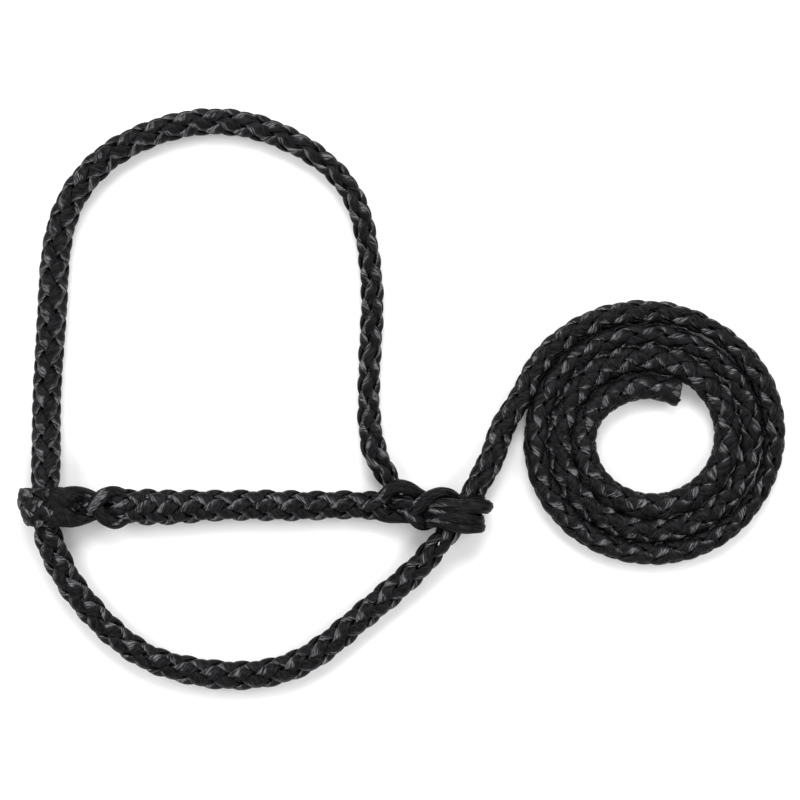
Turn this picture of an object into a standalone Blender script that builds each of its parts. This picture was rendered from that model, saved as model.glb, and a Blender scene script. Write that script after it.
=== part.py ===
"""Rope halter laid flat: one braided rope spliced into a head loop, with its lead coiled beside it.

Metres, +Z up. The origin is on the surface the halter lies on, under the middle of the halter
without its lead. +Y runs from the noseband to the crown and +X from the near side to the lead.
Every node is one stretch of the same rope: the noseband with the rope's tail buried in it, the
eye and the loop at its ends, the opened strands and the rope through them at each splice, the
crown and the chin stretch that fold up from it, and the lead.
"""

from math import cos, pi, radians, sin

import bmesh
import bpy
import numpy as np
from mathutils import Vector

# Driving dimensions.
ROPE_RADIUS = 0.00635  # half-inch hollow braid, unloaded
STRAND_RADIUS = 0.0028  # half of the braid's strands, where a splice opens it
CORE_RADIUS = 0.0034  # the whole rope, squeezed where it goes through itself
EYE_THICKNESS = 0.006  # the rope pressed flat where it bends round another stretch
GAP = 0.0003  # between stretches that meet
WELD = 0.00001  # points nearer than this are one point

# The spacing of the points along each kind of tube, and the sides of round solids.
LONG_SPACING, NOSEBAND_SPACING, LOOP_ROPE_SPACING = 0.015, 0.008, 0.008
NECK_SPACING, ENTRY_SPACING, TAIL_SPACING = 0.005, 0.010, 0.006
BEND_SPACING, SPLICE_SPACING = 0.0035, 0.003
BEVEL_STEPS = 4
BALL_SEGMENTS, BALL_RINGS, END_SIDES = 24, 12, 20
RING_SEGMENTS, ROUNDING_STEPS = 72, 4

NOSE_Y = -0.0535  # the line that the noseband and both splices lie on
NOSE_LEFT, NOSE_RIGHT = -0.0623, 0.0608  # the noseband's ends, at its splices
NOSE_Z = 0.0088
TAIL_START, TAIL_END = -0.0611, -0.016  # the rope's tail inside the noseband
TAIL_Z = 0.0084  # of its inner end
TAIL_RADIUS, TAIL_TIP_RADIUS = 0.0046, 0.0043
SEAL_LENGTH, SEAL_TIP_RADIUS = 0.003, 0.0031
BORE_OVERSHOOT = 0.002  # how far the tail's bore is cut past the noseband's end

EYE_Z = 0.0124  # middle of the stretch that runs through the eye or the loop
EYE_Y, EYE_WIDTH = -0.0545, 0.0210
LOOP_Y, LOOP_WIDTH = -0.0573, 0.0170
EYE_ROPE_X, EYE_ROPE_RADIUS = (-0.1056, -0.1046), 0.0058
CROWN_Y = -0.0430  # where the crown stretch ends, at the eye and at its splice
CHIN_Y = -0.0664  # where the chin stretch ends, at the eye and at the loop
LOOP_TOP_Y = -0.0482  # where the lead comes out of the loop
LEAD_PIVOT = (0.1122, -0.0395, 0.0115)  # where the lead starts to swing
PIVOT_CLEARANCE = 0.0010
NECK_BEND, NECK_END_RADIUS = (0.1075, -0.0476, 0.0124, 0.0055), 0.0059

# The coil: a flat spiral that winds in clockwise from its left side.
COIL_CENTRE = (0.19925, -0.0190)
COIL_START_RADIUS = 0.06575
COIL_STEP = 0.01165  # how much nearer the middle each turn lies
COIL_OVAL = (0.0016, -0.0026, -0.0007, 0.0010)  # constant, cos, sin and cos of twice the angle
TAIL_INWARD = 0.0040  # how far the last quarter turn leans into the middle
TAIL_LEANS_AT, TAIL_LEANS_OVER = 3.0, 0.15  # the turn where it begins to, and for how long
LEAD_ENTRY_TURN, LEAD_JOINS_TURN, ENTRY_TURN_STEP = 0.045, 0.17, 0.03
LEAD_TAIL_TURN, LEAD_END_TURN, TAIL_POINTS = 3.06, 3.305, 12
COILED_RADIUS, ENTRY_Z, TAIL_COIL_Z = 0.0056, 0.0060, 0.0062
RING_CENTRE_Y, RING_OUTER, RING_INNER = -0.01725, 0.06525, 0.0305
RING_HEIGHT, RING_ROUNDING = 0.0120, 0.0050
END_CENTRE, END_NORMAL = (0.2107, 0.0032, 0.0072), (0.98, -0.20, 0.0)
END_LENGTH, END_RADII = 0.0052, (0.0060, 0.0069)
TAIL_LAST_Z, TAIL_LAST_RADIUS = 0.0066, 0.0059  # where the tail meets the sealed end

# Each slot's colour and roughness.
FINISHES = {
    "braid": ((0.012, 0.012, 0.013), 0.62),
    "strand": ((0.030, 0.031, 0.033), 0.58),
    "inner": ((0.012, 0.012, 0.013), 0.70),
    "melted": ((0.006, 0.006, 0.006), 0.35),
}

# Routes: (x, y, z, radius) in metres, along each stretch's middle.
NOSEBAND_ROUTE = [
    (NOSE_LEFT, NOSE_Y, NOSE_Z, 0.0087), (-0.0560, -0.0539, 0.0092, 0.0091),
    (-0.0480, -0.0541, 0.0091, 0.0090), (-0.0380, -0.0539, 0.0088, 0.0087),
    (-0.0280, -0.0535, 0.0083, 0.0082), (-0.0180, -0.0532, 0.0080, 0.0079),
    (0.0020, -0.0531, 0.0080, 0.0079), (0.0180, -0.0533, 0.0079, 0.0078),
    (0.0320, -0.0532, 0.0076, 0.0074), (0.0480, -0.0529, 0.0078, 0.0074),
    (NOSE_RIGHT, -0.0531, 0.0082, 0.0072),
]
CROWN_ROUTE = [
    (-0.1056, -0.0480, 0.0124, 0.0062), (-0.1055, -0.0395, 0.0120, 0.0063),
    (-0.1051, -0.0205, 0.0088, 0.0064), (-0.1050, -0.0005, 0.0068, 0.0066),
    (-0.1036, 0.0245, 0.0069, 0.0067), (-0.1020, 0.0495, 0.0070, 0.0069),
    (-0.1002, 0.0745, 0.0068, 0.0067), (-0.0928, 0.0995, 0.0066, 0.0064),
    (-0.0733, 0.1220, 0.0064, 0.0063), (-0.0533, 0.1326, 0.0062, 0.0061),
    (-0.0232, 0.1390, 0.0063, 0.0062), (-0.0033, 0.1369, 0.0062, 0.0061),
    (0.0219, 0.1268, 0.0057, 0.0056), (0.0371, 0.1159, 0.0052, 0.0051),
    (0.0492, 0.0995, 0.0052, 0.0051), (0.0558, 0.0745, 0.0052, 0.0051),
    (0.0579, 0.0495, 0.0054, 0.0053), (0.0568, 0.0245, 0.0054, 0.0053),
    (0.0561, -0.0005, 0.0053, 0.0052), (0.0576, -0.0203, 0.0060, 0.0057),
    (0.0610, -0.0310, 0.0059, 0.0056), (0.0662, -0.0400, 0.0050, 0.0048),
    (0.0690, -0.0460, 0.0050, 0.0046),
]
CHIN_ROUTE = [
    (-0.1046, -0.0620, 0.0124, 0.0062), (-0.1034, -0.0685, 0.0120, 0.0066),
    (-0.0991, -0.0805, 0.0096, 0.0066), (-0.0942, -0.0905, 0.0078, 0.0065),
    (-0.0872, -0.1005, 0.0066, 0.0065), (-0.0779, -0.1112, 0.0065, 0.0064),
    (-0.0678, -0.1205, 0.0063, 0.0062), (-0.0534, -0.1297, 0.0063, 0.0062),
    (-0.0381, -0.1348, 0.0066, 0.0065), (-0.0232, -0.1375, 0.0069, 0.0068),
    (-0.0032, -0.1381, 0.0068, 0.0067), (0.0219, -0.1318, 0.0067, 0.0066),
    (0.0385, -0.1208, 0.0066, 0.0065), (0.0513, -0.1100, 0.0065, 0.0064),
    (0.0627, -0.1005, 0.0066, 0.0065), (0.0742, -0.0905, 0.0078, 0.0063),
    (0.0839, -0.0807, 0.0102, 0.0060), (0.0914, -0.0716, 0.0120, 0.0057),
    (0.0972, -0.0648, 0.0124, 0.0054),
]
LOOP_ROPE_ROUTE = [
    (0.0926, -0.0725, 0.0124, 0.0054), (0.1023, -0.0565, 0.0124, 0.0054),
    (0.1118, -0.0405, 0.0124, 0.0055),
]
LEAD_ROUTE = [
    (0.1122, -0.0395, 0.0115, 0.0060), (0.1144, -0.0356, 0.0106, 0.0061),
    (0.1172, -0.0305, 0.0092, 0.0061), (0.1208, -0.0206, 0.0070, 0.0061),
    (0.1232, -0.0142, 0.0062, 0.0060), (0.1268, -0.0078, 0.0060, 0.0059),
]
# The strands and the cores at the splices: (x, distance above NOSE_Y, z).
LEFT_FRONT_STRANDS = [
    (-0.0888, 0.0042, 0.0146), (-0.0862, 0.0067, 0.0138), (-0.0828, 0.0076, 0.0120),
    (-0.0792, 0.0052, 0.0102), (-0.0772, 0.0036, 0.0097),
]
LEFT_BACK_CORE = [
    (-0.0892, 0.0, 0.0048), (-0.0866, 0.0, 0.0066), (-0.0830, 0.0, 0.0105),
    (-0.0795, 0.0, 0.0150), (-0.0770, 0.0, 0.0158),
]
LEFT_BACK_STRANDS = [
    (-0.0761, 0.0032, 0.0154), (-0.0728, 0.0068, 0.0136), (-0.0690, 0.0076, 0.0102),
    (-0.0665, 0.0058, 0.0078), (-0.0648, 0.0044, 0.0070),
]
LEFT_FRONT_CORE = [
    (-0.0763, 0.0, 0.0086), (-0.0720, 0.0, 0.0092), (-0.0685, 0.0, 0.0112),
    (-0.0662, 0.0, 0.0130), (-0.0642, 0.0, 0.0138),
]
RIGHT_FRONT_UPPER = [
    (0.0638, 0.0045, 0.0100), (0.0665, 0.0073, 0.0124), (0.0710, 0.0096, 0.0132),
    (0.0760, 0.0079, 0.0108), (0.0785, 0.0050, 0.0097),
]
RIGHT_FRONT_LOWER = [
    (0.0622, -0.0036, 0.0088), (0.0655, -0.0047, 0.0089), (0.0710, -0.0043, 0.0091),
    (0.0755, -0.0037, 0.0091), (0.0782, -0.0034, 0.0092),
]
RIGHT_CROWN_CORE = [
    (0.0682, 0.0088, 0.0046), (0.0672, 0.0064, 0.0044), (0.0675, 0.0038, 0.0050),
    (0.0705, 0.0025, 0.0090), (0.0742, 0.0014, 0.0143), (0.0764, 0.0006, 0.0160),
]
RIGHT_BACK_UPPER = [
    (0.0790, 0.0042, 0.0158), (0.0830, 0.0065, 0.0150), (0.0890, 0.0067, 0.0115),
    (0.0925, 0.0050, 0.0070), (0.0940, 0.0030, 0.0034),
]
RIGHT_BACK_LOWER = [
    (0.0790, -0.0032, 0.0158), (0.0812, -0.0070, 0.0142), (0.0838, -0.0087, 0.0110),
    (0.0865, -0.0075, 0.0070), (0.0890, -0.0055, 0.0034),
]
RIGHT_FRONT_CORE = [
    (0.0801, 0.0003, 0.0097), (0.0840, -0.0001, 0.0100), (0.0875, -0.0007, 0.0130),
    (0.0898, -0.0015, 0.0165),
]
# The eye's and the loop's own rope, seen from the side: (x, z) round the stretch inside it.
EYE_PATH = [
    (-0.0925, 0.0172), (-0.0948, 0.0195), (-0.0985, 0.0215), (-0.1045, 0.0218),
    (-0.1110, 0.0195), (-0.1150, 0.0124), (-0.1110, 0.0055), (-0.1045, 0.0032),
    (-0.0985, 0.0032), (-0.0928, 0.0034),
]
LOOP_PATH = [
    (0.0912, 0.0218), (0.0960, 0.0219), (0.1030, 0.0219), (0.1100, 0.0212),
    (0.1138, 0.0180), (0.1150, 0.0124), (0.1138, 0.0068), (0.1100, 0.0038),
    (0.1030, 0.0032), (0.0976, 0.0032),
]


def clear_scene():
    for item in list(bpy.data.objects):
        bpy.data.objects.remove(item)


def new_collection(name):
    found = bpy.data.collections.new(name)
    bpy.context.scene.collection.children.link(found)
    return found


def material(name, colour, roughness):
    made = bpy.data.materials.new(name)
    made.use_nodes = True
    shader = made.node_tree.nodes["Principled BSDF"]
    shader.inputs["Base Color"].default_value = (*colour, 1.0)
    shader.inputs["Roughness"].default_value = roughness
    shader.inputs["Metallic"].default_value = 0.0
    return made


def smooth(points, spacing):
    """Points at even steps along a natural cubic spline through the given ones."""
    knots = np.array(points, float)
    steps = np.linalg.norm(np.diff(knots[:, :3], axis=0), axis=1)
    at = np.concatenate([[0.0], np.cumsum(steps)])
    n = len(knots)
    system, right = np.zeros((n, n)), np.zeros((n, knots.shape[1]))
    system[0, 0] = system[-1, -1] = 1.0
    for i in range(1, n - 1):
        system[i, i - 1 : i + 2] = steps[i - 1], 2 * (steps[i - 1] + steps[i]), steps[i]
        slopes = (knots[i + 1] - knots[i]) / steps[i] - (knots[i] - knots[i - 1]) / steps[i - 1]
        right[i] = 6 * slopes
    bend = np.linalg.solve(system, right)
    found = []
    for t in np.linspace(0, at[-1], max(4, round(at[-1] / spacing) + 1)):
        i = min(int(np.searchsorted(at, t, side="right")) - 1, n - 2)
        h, a, b = steps[i], at[i + 1] - t, t - at[i]
        found.append(
            (bend[i] * a**3 + bend[i + 1] * b**3) / (6 * h)
            + (knots[i] / h - bend[i] * h / 6) * a
            + (knots[i + 1] / h - bend[i + 1] * h / 6) * b
        )
    return found


def tube(name, points, look, collection):
    """A curve object through (x, y, z, radius) points, with filled ends."""
    data = bpy.data.curves.new(name, "CURVE")
    data.dimensions = "3D"
    data.bevel_depth = ROPE_RADIUS
    data.bevel_resolution = BEVEL_STEPS
    data.use_fill_caps = True
    spline = data.splines.new("POLY")
    spline.points.add(len(points) - 1)
    for point, (x, y, z, radius) in zip(spline.points, points):
        point.co = (x, y, z, 1.0)
        point.radius = radius / ROPE_RADIUS
    made = bpy.data.objects.new(name, data)
    data.materials.append(look)
    collection.objects.link(made)
    return made


def as_mesh(item):
    """The same object as a mesh, with a curve's loose caps welded to its sides."""
    bpy.context.view_layer.update()
    graph = bpy.context.evaluated_depsgraph_get()
    mesh = bpy.data.meshes.new_from_object(item.evaluated_get(graph))
    shape = bmesh.new()
    shape.from_mesh(mesh)
    bmesh.ops.remove_doubles(shape, verts=shape.verts, dist=WELD)
    bmesh.ops.recalc_face_normals(shape, faces=shape.faces)
    shape.to_mesh(mesh)
    shape.free()
    name, home, place = item.name, item.users_collection[0], item.matrix_world.copy()
    bpy.data.objects.remove(item)
    made = bpy.data.objects.new(name, mesh)
    mesh.name = name
    made.matrix_world = place
    home.objects.link(made)
    return made


def trim(item, point, outward):
    """Cuts off what lies beyond a plane and closes the cut with a flat face."""
    shape = bmesh.new()
    shape.from_mesh(item.data)
    everything = [*shape.verts, *shape.edges, *shape.faces]
    cut = bmesh.ops.bisect_plane(
        shape, geom=everything, plane_co=point, plane_no=outward, clear_outer=True
    )
    edges = [part for part in cut["geom_cut"] if isinstance(part, bmesh.types.BMEdge)]
    bmesh.ops.edgenet_fill(shape, edges=edges)
    bmesh.ops.recalc_face_normals(shape, faces=shape.faces)
    shape.to_mesh(item.data)
    shape.free()


def boolean(item, other, operation="DIFFERENCE"):
    modifier = item.modifiers.new(operation.lower(), "BOOLEAN")
    modifier.operation = operation
    modifier.object = other
    modifier.solver = "EXACT"


def make_cutter(item):
    item.hide_render = True
    item.display_type = "WIRE"
    return item


def turned_ring(name, look, collection, grow=0.0):
    """The coil's outer shape: a flat-bottomed ring with round edges, turned about its own axis."""
    rounding = RING_ROUNDING + grow
    top, bottom = RING_HEIGHT + grow, -grow
    outer, inner = RING_OUTER + grow, RING_INNER - grow
    corners = [
        (outer - rounding, top - rounding, 90), (outer - rounding, bottom + rounding, 0),
        (inner + rounding, bottom + rounding, -90), (inner + rounding, top - rounding, -180),
    ]
    outline = []
    for x, z, start in corners:
        for step in range(ROUNDING_STEPS + 1):
            angle = radians(start - 90 * step / ROUNDING_STEPS)
            outline.append((x + rounding * cos(angle), z + rounding * sin(angle)))
    mesh = bpy.data.meshes.new(name)
    edges = [(i, (i + 1) % len(outline)) for i in range(len(outline))]
    mesh.from_pydata([(x, 0.0, z) for x, z in outline], edges, [])
    mesh.materials.append(look)
    made = bpy.data.objects.new(name, mesh)
    made.location = (COIL_CENTRE[0], RING_CENTRE_Y, 0.0)
    screw = made.modifiers.new("turn", "SCREW")
    screw.axis = "Z"
    screw.steps = screw.render_steps = RING_SEGMENTS
    screw.use_merge_vertices = True
    screw.merge_threshold = 10 * WELD
    collection.objects.link(made)
    return made


def coil_point(turn, z, radius):
    """A point on the lead's spiral, after so many turns from its left side."""
    angle = pi - 2 * pi * turn
    constant, with_cos, with_sin, with_double = COIL_OVAL
    from_centre = COIL_START_RADIUS - COIL_STEP * turn + constant
    from_centre += with_cos * cos(angle) + with_sin * sin(angle) + with_double * cos(2 * angle)
    inward = min(max((turn - TAIL_LEANS_AT) / TAIL_LEANS_OVER, 0.0), 1.0)
    from_centre -= TAIL_INWARD * inward * inward * (3 - 2 * inward)
    x = COIL_CENTRE[0] + from_centre * cos(angle)
    y = COIL_CENTRE[1] + from_centre * sin(angle)
    return (x, y, z, radius)


def build_noseband(home, tools, looks):
    """The doubled middle of the halter: a hollow braid with the rope's own tail inside it."""
    sleeve_points = smooth(NOSEBAND_ROUTE, NOSEBAND_SPACING)
    sleeve = as_mesh(tube("noseband_rope", sleeve_points, looks["braid"], home))
    bore_end = TAIL_END + SEAL_LENGTH + 2 * GAP
    bore_route = [
        (NOSE_LEFT - BORE_OVERSHOOT, NOSE_Y, NOSE_Z, TAIL_RADIUS + GAP),
        (bore_end, NOSE_Y, TAIL_Z, TAIL_RADIUS + GAP),
    ]
    bore = make_cutter(as_mesh(tube("noseband_bore", bore_route, looks["braid"], tools)))
    boolean(sleeve, bore)
    tail_points = [
        (TAIL_START, NOSE_Y, NOSE_Z, TAIL_RADIUS), (TAIL_END, NOSE_Y, TAIL_Z, TAIL_TIP_RADIUS)
    ]
    tube("buried_tail", tail_points, looks["inner"], home)
    seal_points = [
        (TAIL_END + GAP, NOSE_Y, TAIL_Z, TAIL_TIP_RADIUS),
        (TAIL_END + SEAL_LENGTH, NOSE_Y, TAIL_Z, SEAL_TIP_RADIUS),
    ]
    tube("tail_seal", seal_points, looks["melted"], home)


def build_bend(name, path, y, width, home, look):
    """The rope pressed flat and bent round another stretch: a round tube in XZ, widened along Y."""
    points = smooth([(x, 0.0, z, EYE_THICKNESS / 2) for x, z in path], BEND_SPACING)
    bend = tube(name, points, look, home)
    bend.location = (0.0, y, 0.0)
    bend.scale = (1.0, width / EYE_THICKNESS, 1.0)


def build_splice_piece(name, path, radius, home, look, side=1):
    points = [(x, NOSE_Y + side * offset, z, radius) for x, offset, z in path]
    tube(name, smooth(points, SPLICE_SPACING), look, home)


def build_left_splice(home, looks):
    """The near-side eye: its front rope opens for the back rope, which then opens for it."""
    build_bend("left_eye", EYE_PATH, EYE_Y, EYE_WIDTH, home, looks["braid"])
    crown_x, chin_x = EYE_ROPE_X
    through = [
        (crown_x, CROWN_Y - GAP, EYE_Z, EYE_ROPE_RADIUS),
        (chin_x, CHIN_Y + GAP, EYE_Z, EYE_ROPE_RADIUS),
    ]
    tube("left_eye_rope", through, looks["braid"], home)
    for side, word in ((1, "upper"), (-1, "lower")):
        for place, path in (("front", LEFT_FRONT_STRANDS), ("back", LEFT_BACK_STRANDS)):
            name = f"left_{place}_strands_{word}"
            build_splice_piece(name, path, STRAND_RADIUS, home, looks["strand"], side)
    build_splice_piece("left_back_core", LEFT_BACK_CORE, CORE_RADIUS, home, looks["braid"])
    build_splice_piece("left_front_core", LEFT_FRONT_CORE, CORE_RADIUS, home, looks["braid"])


def build_right_splice(home, looks):
    """The off-side splice, where the crown leaves, and the loop that the lead is drawn through."""
    build_bend("right_loop", LOOP_PATH, LOOP_Y, LOOP_WIDTH, home, looks["braid"])
    strands = {
        "right_front_strands_upper": RIGHT_FRONT_UPPER,
        "right_front_strands_lower": RIGHT_FRONT_LOWER,
        "right_back_strands_upper": RIGHT_BACK_UPPER,
        "right_back_strands_lower": RIGHT_BACK_LOWER,
    }
    for name, path in strands.items():
        build_splice_piece(name, path, STRAND_RADIUS, home, looks["strand"])
    build_splice_piece("right_crown_core", RIGHT_CROWN_CORE, CORE_RADIUS, home, looks["braid"])
    build_splice_piece("right_front_core", RIGHT_FRONT_CORE, CORE_RADIUS, home, looks["braid"])


def build_crown(home, looks):
    points = smooth(CROWN_ROUTE, LONG_SPACING)
    crown = as_mesh(tube("crown_rope", points, looks["braid"], home))
    trim(crown, (0.0, CROWN_Y, 0.0), (0.0, -1.0, 0.0))


def build_chin(home, looks):
    points = smooth(CHIN_ROUTE, LONG_SPACING)
    chin = as_mesh(tube("chin_rope", points, looks["braid"], home))
    trim(chin, (0.0, CHIN_Y, 0.0), (0.0, 1.0, 0.0))


def pivot_ball(name, radius, collection):
    """A sphere about the point where the lead swings, to cut or join with."""
    bpy.ops.mesh.primitive_uv_sphere_add(
        segments=BALL_SEGMENTS, ring_count=BALL_RINGS, radius=radius, location=LEAD_PIVOT
    )
    ball = make_cutter(bpy.context.object)
    ball.name = name
    move_to(ball, collection)
    return ball


def build_lead_in_loop(home, tools, looks):
    """The lead's stretch in the loop, and the neck that it turns into."""
    points = smooth(LOOP_ROPE_ROUTE, LOOP_ROPE_SPACING)
    running = as_mesh(tube("right_loop_rope", points, looks["braid"], home))
    trim(running, (0.0, CHIN_Y + GAP, 0.0), (0.0, -1.0, 0.0))
    trim(running, (0.0, LOOP_TOP_Y, 0.0), (0.0, 1.0, 0.0))

    route = [LOOP_ROPE_ROUTE[1], NECK_BEND, (*LEAD_PIVOT, NECK_END_RADIUS)]
    neck = as_mesh(tube("lead_neck", smooth(route, NECK_SPACING), looks["braid"], home))
    trim(neck, (0.0, LOOP_TOP_Y + GAP, 0.0), (0.0, -1.0, 0.0))
    boolean(neck, pivot_ball("lead_socket", LEAD_ROUTE[0][3] + PIVOT_CLEARANCE, tools))


def build_lead(home, tools, looks):
    """The free lead, its coil, the last quarter turn and the cut, sealed end."""
    cutter = make_cutter(turned_ring("coil_clearance", looks["braid"], tools, GAP))
    turned_ring("lead_coil", looks["braid"], home)
    turns = np.arange(LEAD_ENTRY_TURN, LEAD_JOINS_TURN, ENTRY_TURN_STEP)
    entry = [coil_point(turn, ENTRY_Z, COILED_RADIUS) for turn in turns]
    points = smooth(LEAD_ROUTE + entry, ENTRY_SPACING)
    lead = as_mesh(tube("lead_rope", points, looks["braid"], home))
    boolean(lead, pivot_ball("lead_knuckle", LEAD_ROUTE[0][3], tools), "UNION")
    boolean(lead, cutter)

    turns = np.linspace(LEAD_TAIL_TURN, LEAD_END_TURN, TAIL_POINTS)
    tail_route = [coil_point(turn, TAIL_COIL_Z, COILED_RADIUS) for turn in turns]
    outward = Vector(END_NORMAL).normalized()
    last = Vector(END_CENTRE) - outward * (END_LENGTH + GAP)
    tail_route[-2:] = [(last.x, last.y, TAIL_LAST_Z, TAIL_LAST_RADIUS)]
    tail = as_mesh(tube("lead_tail", smooth(tail_route, TAIL_SPACING), looks["braid"], home))
    trim(tail, last, END_NORMAL)
    boolean(tail, cutter)
    bpy.ops.mesh.primitive_cone_add(
        vertices=END_SIDES, radius1=END_RADII[0], radius2=END_RADII[1], depth=END_LENGTH,
        end_fill_type="NGON",
    )
    end = bpy.context.object
    end.name = "lead_end"
    end.location = Vector(END_CENTRE) - outward * (END_LENGTH / 2)
    end.rotation_mode = "QUATERNION"
    end.rotation_quaternion = outward.to_track_quat("Z", "Y")
    end.data.materials.append(looks["melted"])
    move_to(end, home)


def move_to(item, collection):
    for found in list(item.users_collection):
        found.objects.unlink(item)
    collection.objects.link(item)


def main():
    clear_scene()
    home = new_collection("rope_halter")
    tools = new_collection("cutters")
    looks = {name: material(name, *finish) for name, finish in FINISHES.items()}
    build_noseband(home, tools, looks)
    build_left_splice(home, looks)
    build_right_splice(home, looks)
    build_crown(home, looks)
    build_chin(home, looks)
    build_lead_in_loop(home, tools, looks)
    build_lead(home, tools, looks)


main()
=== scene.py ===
"""Rope halter laid flat: the looks of its braid, splices, eye, loop, lead and sealed end.

Metres, +Z up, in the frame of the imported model: the origin is on the surface under the halter,
+Y runs from the noseband to the crown and +X from the near side to the lead.  The rope is a
hollow braid of eight strands, four each way, one over and one under.  Each strand is four yarns,
of which the trailing one is a grey tracer and the others are black.
"""

import logging
from dataclasses import dataclass, field
from enum import Enum
from math import cos, pi, sin
from typing import Sequence

import bpy
import numpy as np
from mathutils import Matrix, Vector


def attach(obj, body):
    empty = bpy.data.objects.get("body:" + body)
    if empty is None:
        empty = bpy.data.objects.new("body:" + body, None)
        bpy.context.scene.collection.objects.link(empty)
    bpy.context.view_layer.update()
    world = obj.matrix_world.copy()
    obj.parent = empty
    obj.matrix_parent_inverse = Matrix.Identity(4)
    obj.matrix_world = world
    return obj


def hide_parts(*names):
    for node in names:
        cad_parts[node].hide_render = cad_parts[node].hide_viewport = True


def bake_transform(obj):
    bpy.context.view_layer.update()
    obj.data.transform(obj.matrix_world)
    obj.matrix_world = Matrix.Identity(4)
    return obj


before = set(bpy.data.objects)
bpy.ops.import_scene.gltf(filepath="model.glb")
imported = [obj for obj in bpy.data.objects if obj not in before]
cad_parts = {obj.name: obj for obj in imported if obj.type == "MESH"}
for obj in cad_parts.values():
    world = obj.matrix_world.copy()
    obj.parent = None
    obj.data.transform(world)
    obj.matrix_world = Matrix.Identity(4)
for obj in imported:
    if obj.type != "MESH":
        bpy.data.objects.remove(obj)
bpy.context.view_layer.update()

log = logging.getLogger("rope_halter")

HALF_BRAID = 4  # strands that spiral each way
STRAND_RUN = 0.0089  # a strand's length from one crossing to the next
STRAND_THICKNESS = 0.0022
YARNS = 4  # yarns side by side in a strand
NOSE_Y = -0.0535  # the line of the noseband and both splices
TRACER_SHARE = 0.26  # of a strand's width, where nothing widens or pinches it

Triple = tuple[float, float, float]
RoutePoint = tuple[float, ...]
Route = tuple[RoutePoint, ...]
Socket = bpy.types.NodeSocket
Looks = dict[str, bpy.types.Material]


class Lean(Enum):
    """The way a strand spirals round the rope."""

    FORWARD = 1
    BACKWARD = -1


class Facing(Enum):
    """Which direction stays level across a stretch of rope."""

    LEVEL = None  # the stretch lies flat: its side is square to it and to the vertical
    ACROSS = (0.0, 1.0, 0.0)  # the stretch bends up and over: its side is the halter's own +Y
    EYE_SLANT = (-0.24, 0.971, 0.0)  # the same, and its bend follows the rope through the eye
    LOOP_SLANT = (0.29, 0.957, 0.0)  # the same, and its bend follows the rope in the loop


# ---------------------------------------------------------------------------------------------
# Finishes


@dataclass(frozen=True)
class YarnFinish:
    """Polypropylene yarn: black with a grey tracer, and fine filaments that run along it."""

    name: str
    black: Triple = (0.0008, 0.0008, 0.0010)
    black_light: Triple = (0.0118, 0.0114, 0.0130)
    tracer: Triple = (0.0050, 0.0051, 0.0056)
    tracer_light: Triple = (0.140, 0.141, 0.147)
    twist: float = 0.42  # how far filaments turn across a strand for each length along it
    fine_streaks: Triple = (210.0, 1500.0, 31.0)  # along, across, by strand
    broad_streaks: Triple = (130.0, 560.0, 17.0)
    stroke_ramp: tuple[float, float] = (0.42, 0.61)  # of the fine noise, from dark to light
    patch_ramp: tuple[float, float] = (0.34, 0.66)  # of the broad noise
    black_patches: tuple[float, float] = (0.60, 1.15)  # what the patches scale black by
    tracer_patches: tuple[float, float] = (0.78, 1.10)
    ragged: float = 1.90  # how far single filaments carry the tracer's edge across
    wander: float = 1.10  # and how far its broader streaks do
    edge_softness: float = 0.10
    roughness: float = 0.50
    roughness_range: float = 0.22
    specular: float = 0.09
    relief: float = 0.55
    relief_depth: float = 0.00028

    def make(self) -> bpy.types.Material:
        """Builds the material from the strand's own measures.

        Returns:
            A material that reads the attributes along, across, girth and shade of a rope's mesh.
        """
        kit = NodeKit.for_new_material(self.name, self.specular)
        fine = self._streaks(kit, self.fine_streaks, 0.60)
        broad = self._streaks(kit, self.broad_streaks, 0.50)
        strokes = kit.ramp(fine, *self.stroke_ramp)
        patches = kit.ramp(broad, *self.patch_ramp)
        black = kit.mix(strokes, self.black, self.black_light)
        black = kit.scaled(black, patches, *self.black_patches)
        grey = kit.mix(strokes, self.tracer, self.tracer_light)
        grey = kit.scaled(grey, patches, *self.tracer_patches)
        colour = kit.mix(self._traced(kit, fine, broad), black, grey)
        kit.tree.links.new(colour, kit.shader.inputs["Base Color"])
        kit.gloss(fine, self.roughness_range, self.roughness - self.roughness_range / 2)
        kit.relief(fine, self.relief, self.relief_depth)
        return kit.material

    def _streaks(self, kit: "NodeKit", scales: Triple, rough: float) -> Socket:
        """Noise drawn out along the filaments, which the yarn's twist turns across the strand.

        Args:
            kit: the material's nodes.
            scales: features for each metre along, each metre across and each strand.
            rough: how strong the finer layers are.

        Returns:
            The noise value's socket.
        """
        along = kit.attribute("along")
        turned = kit.math("ADD", kit.attribute("girth"), kit.math("MULTIPLY", along, self.twist))
        place = kit.combine(
            kit.math("MULTIPLY", along, scales[0]),
            kit.math("MULTIPLY", turned, scales[1]),
            kit.math("MULTIPLY", kit.attribute("shade"), scales[2]),
        )
        return kit.noise(place, scale=1.0, detail=2.0, rough=rough)

    def _traced(self, kit: "NodeKit", fine: Socket, broad: Socket) -> Socket:
        """Where the tracer shows: the strand's trailing edge, ragged where filaments cross over.

        Args:
            kit: the material's nodes.
            fine: the fine noise.
            broad: the broad noise.

        Returns:
            A value of 1 on the tracer and 0 on the black yarns.
        """
        ragged = kit.math("MULTIPLY", kit.math("SUBTRACT", fine, 0.5), self.ragged)
        wander = kit.math("MULTIPLY", kit.math("SUBTRACT", broad, 0.5), self.wander)
        edge = kit.math("ADD", kit.math("ADD", kit.attribute("across"), ragged), wander)
        limit = -1.0 + 2.0 * TRACER_SHARE
        return kit.ramp(edge, limit + self.edge_softness, limit - self.edge_softness)


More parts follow.
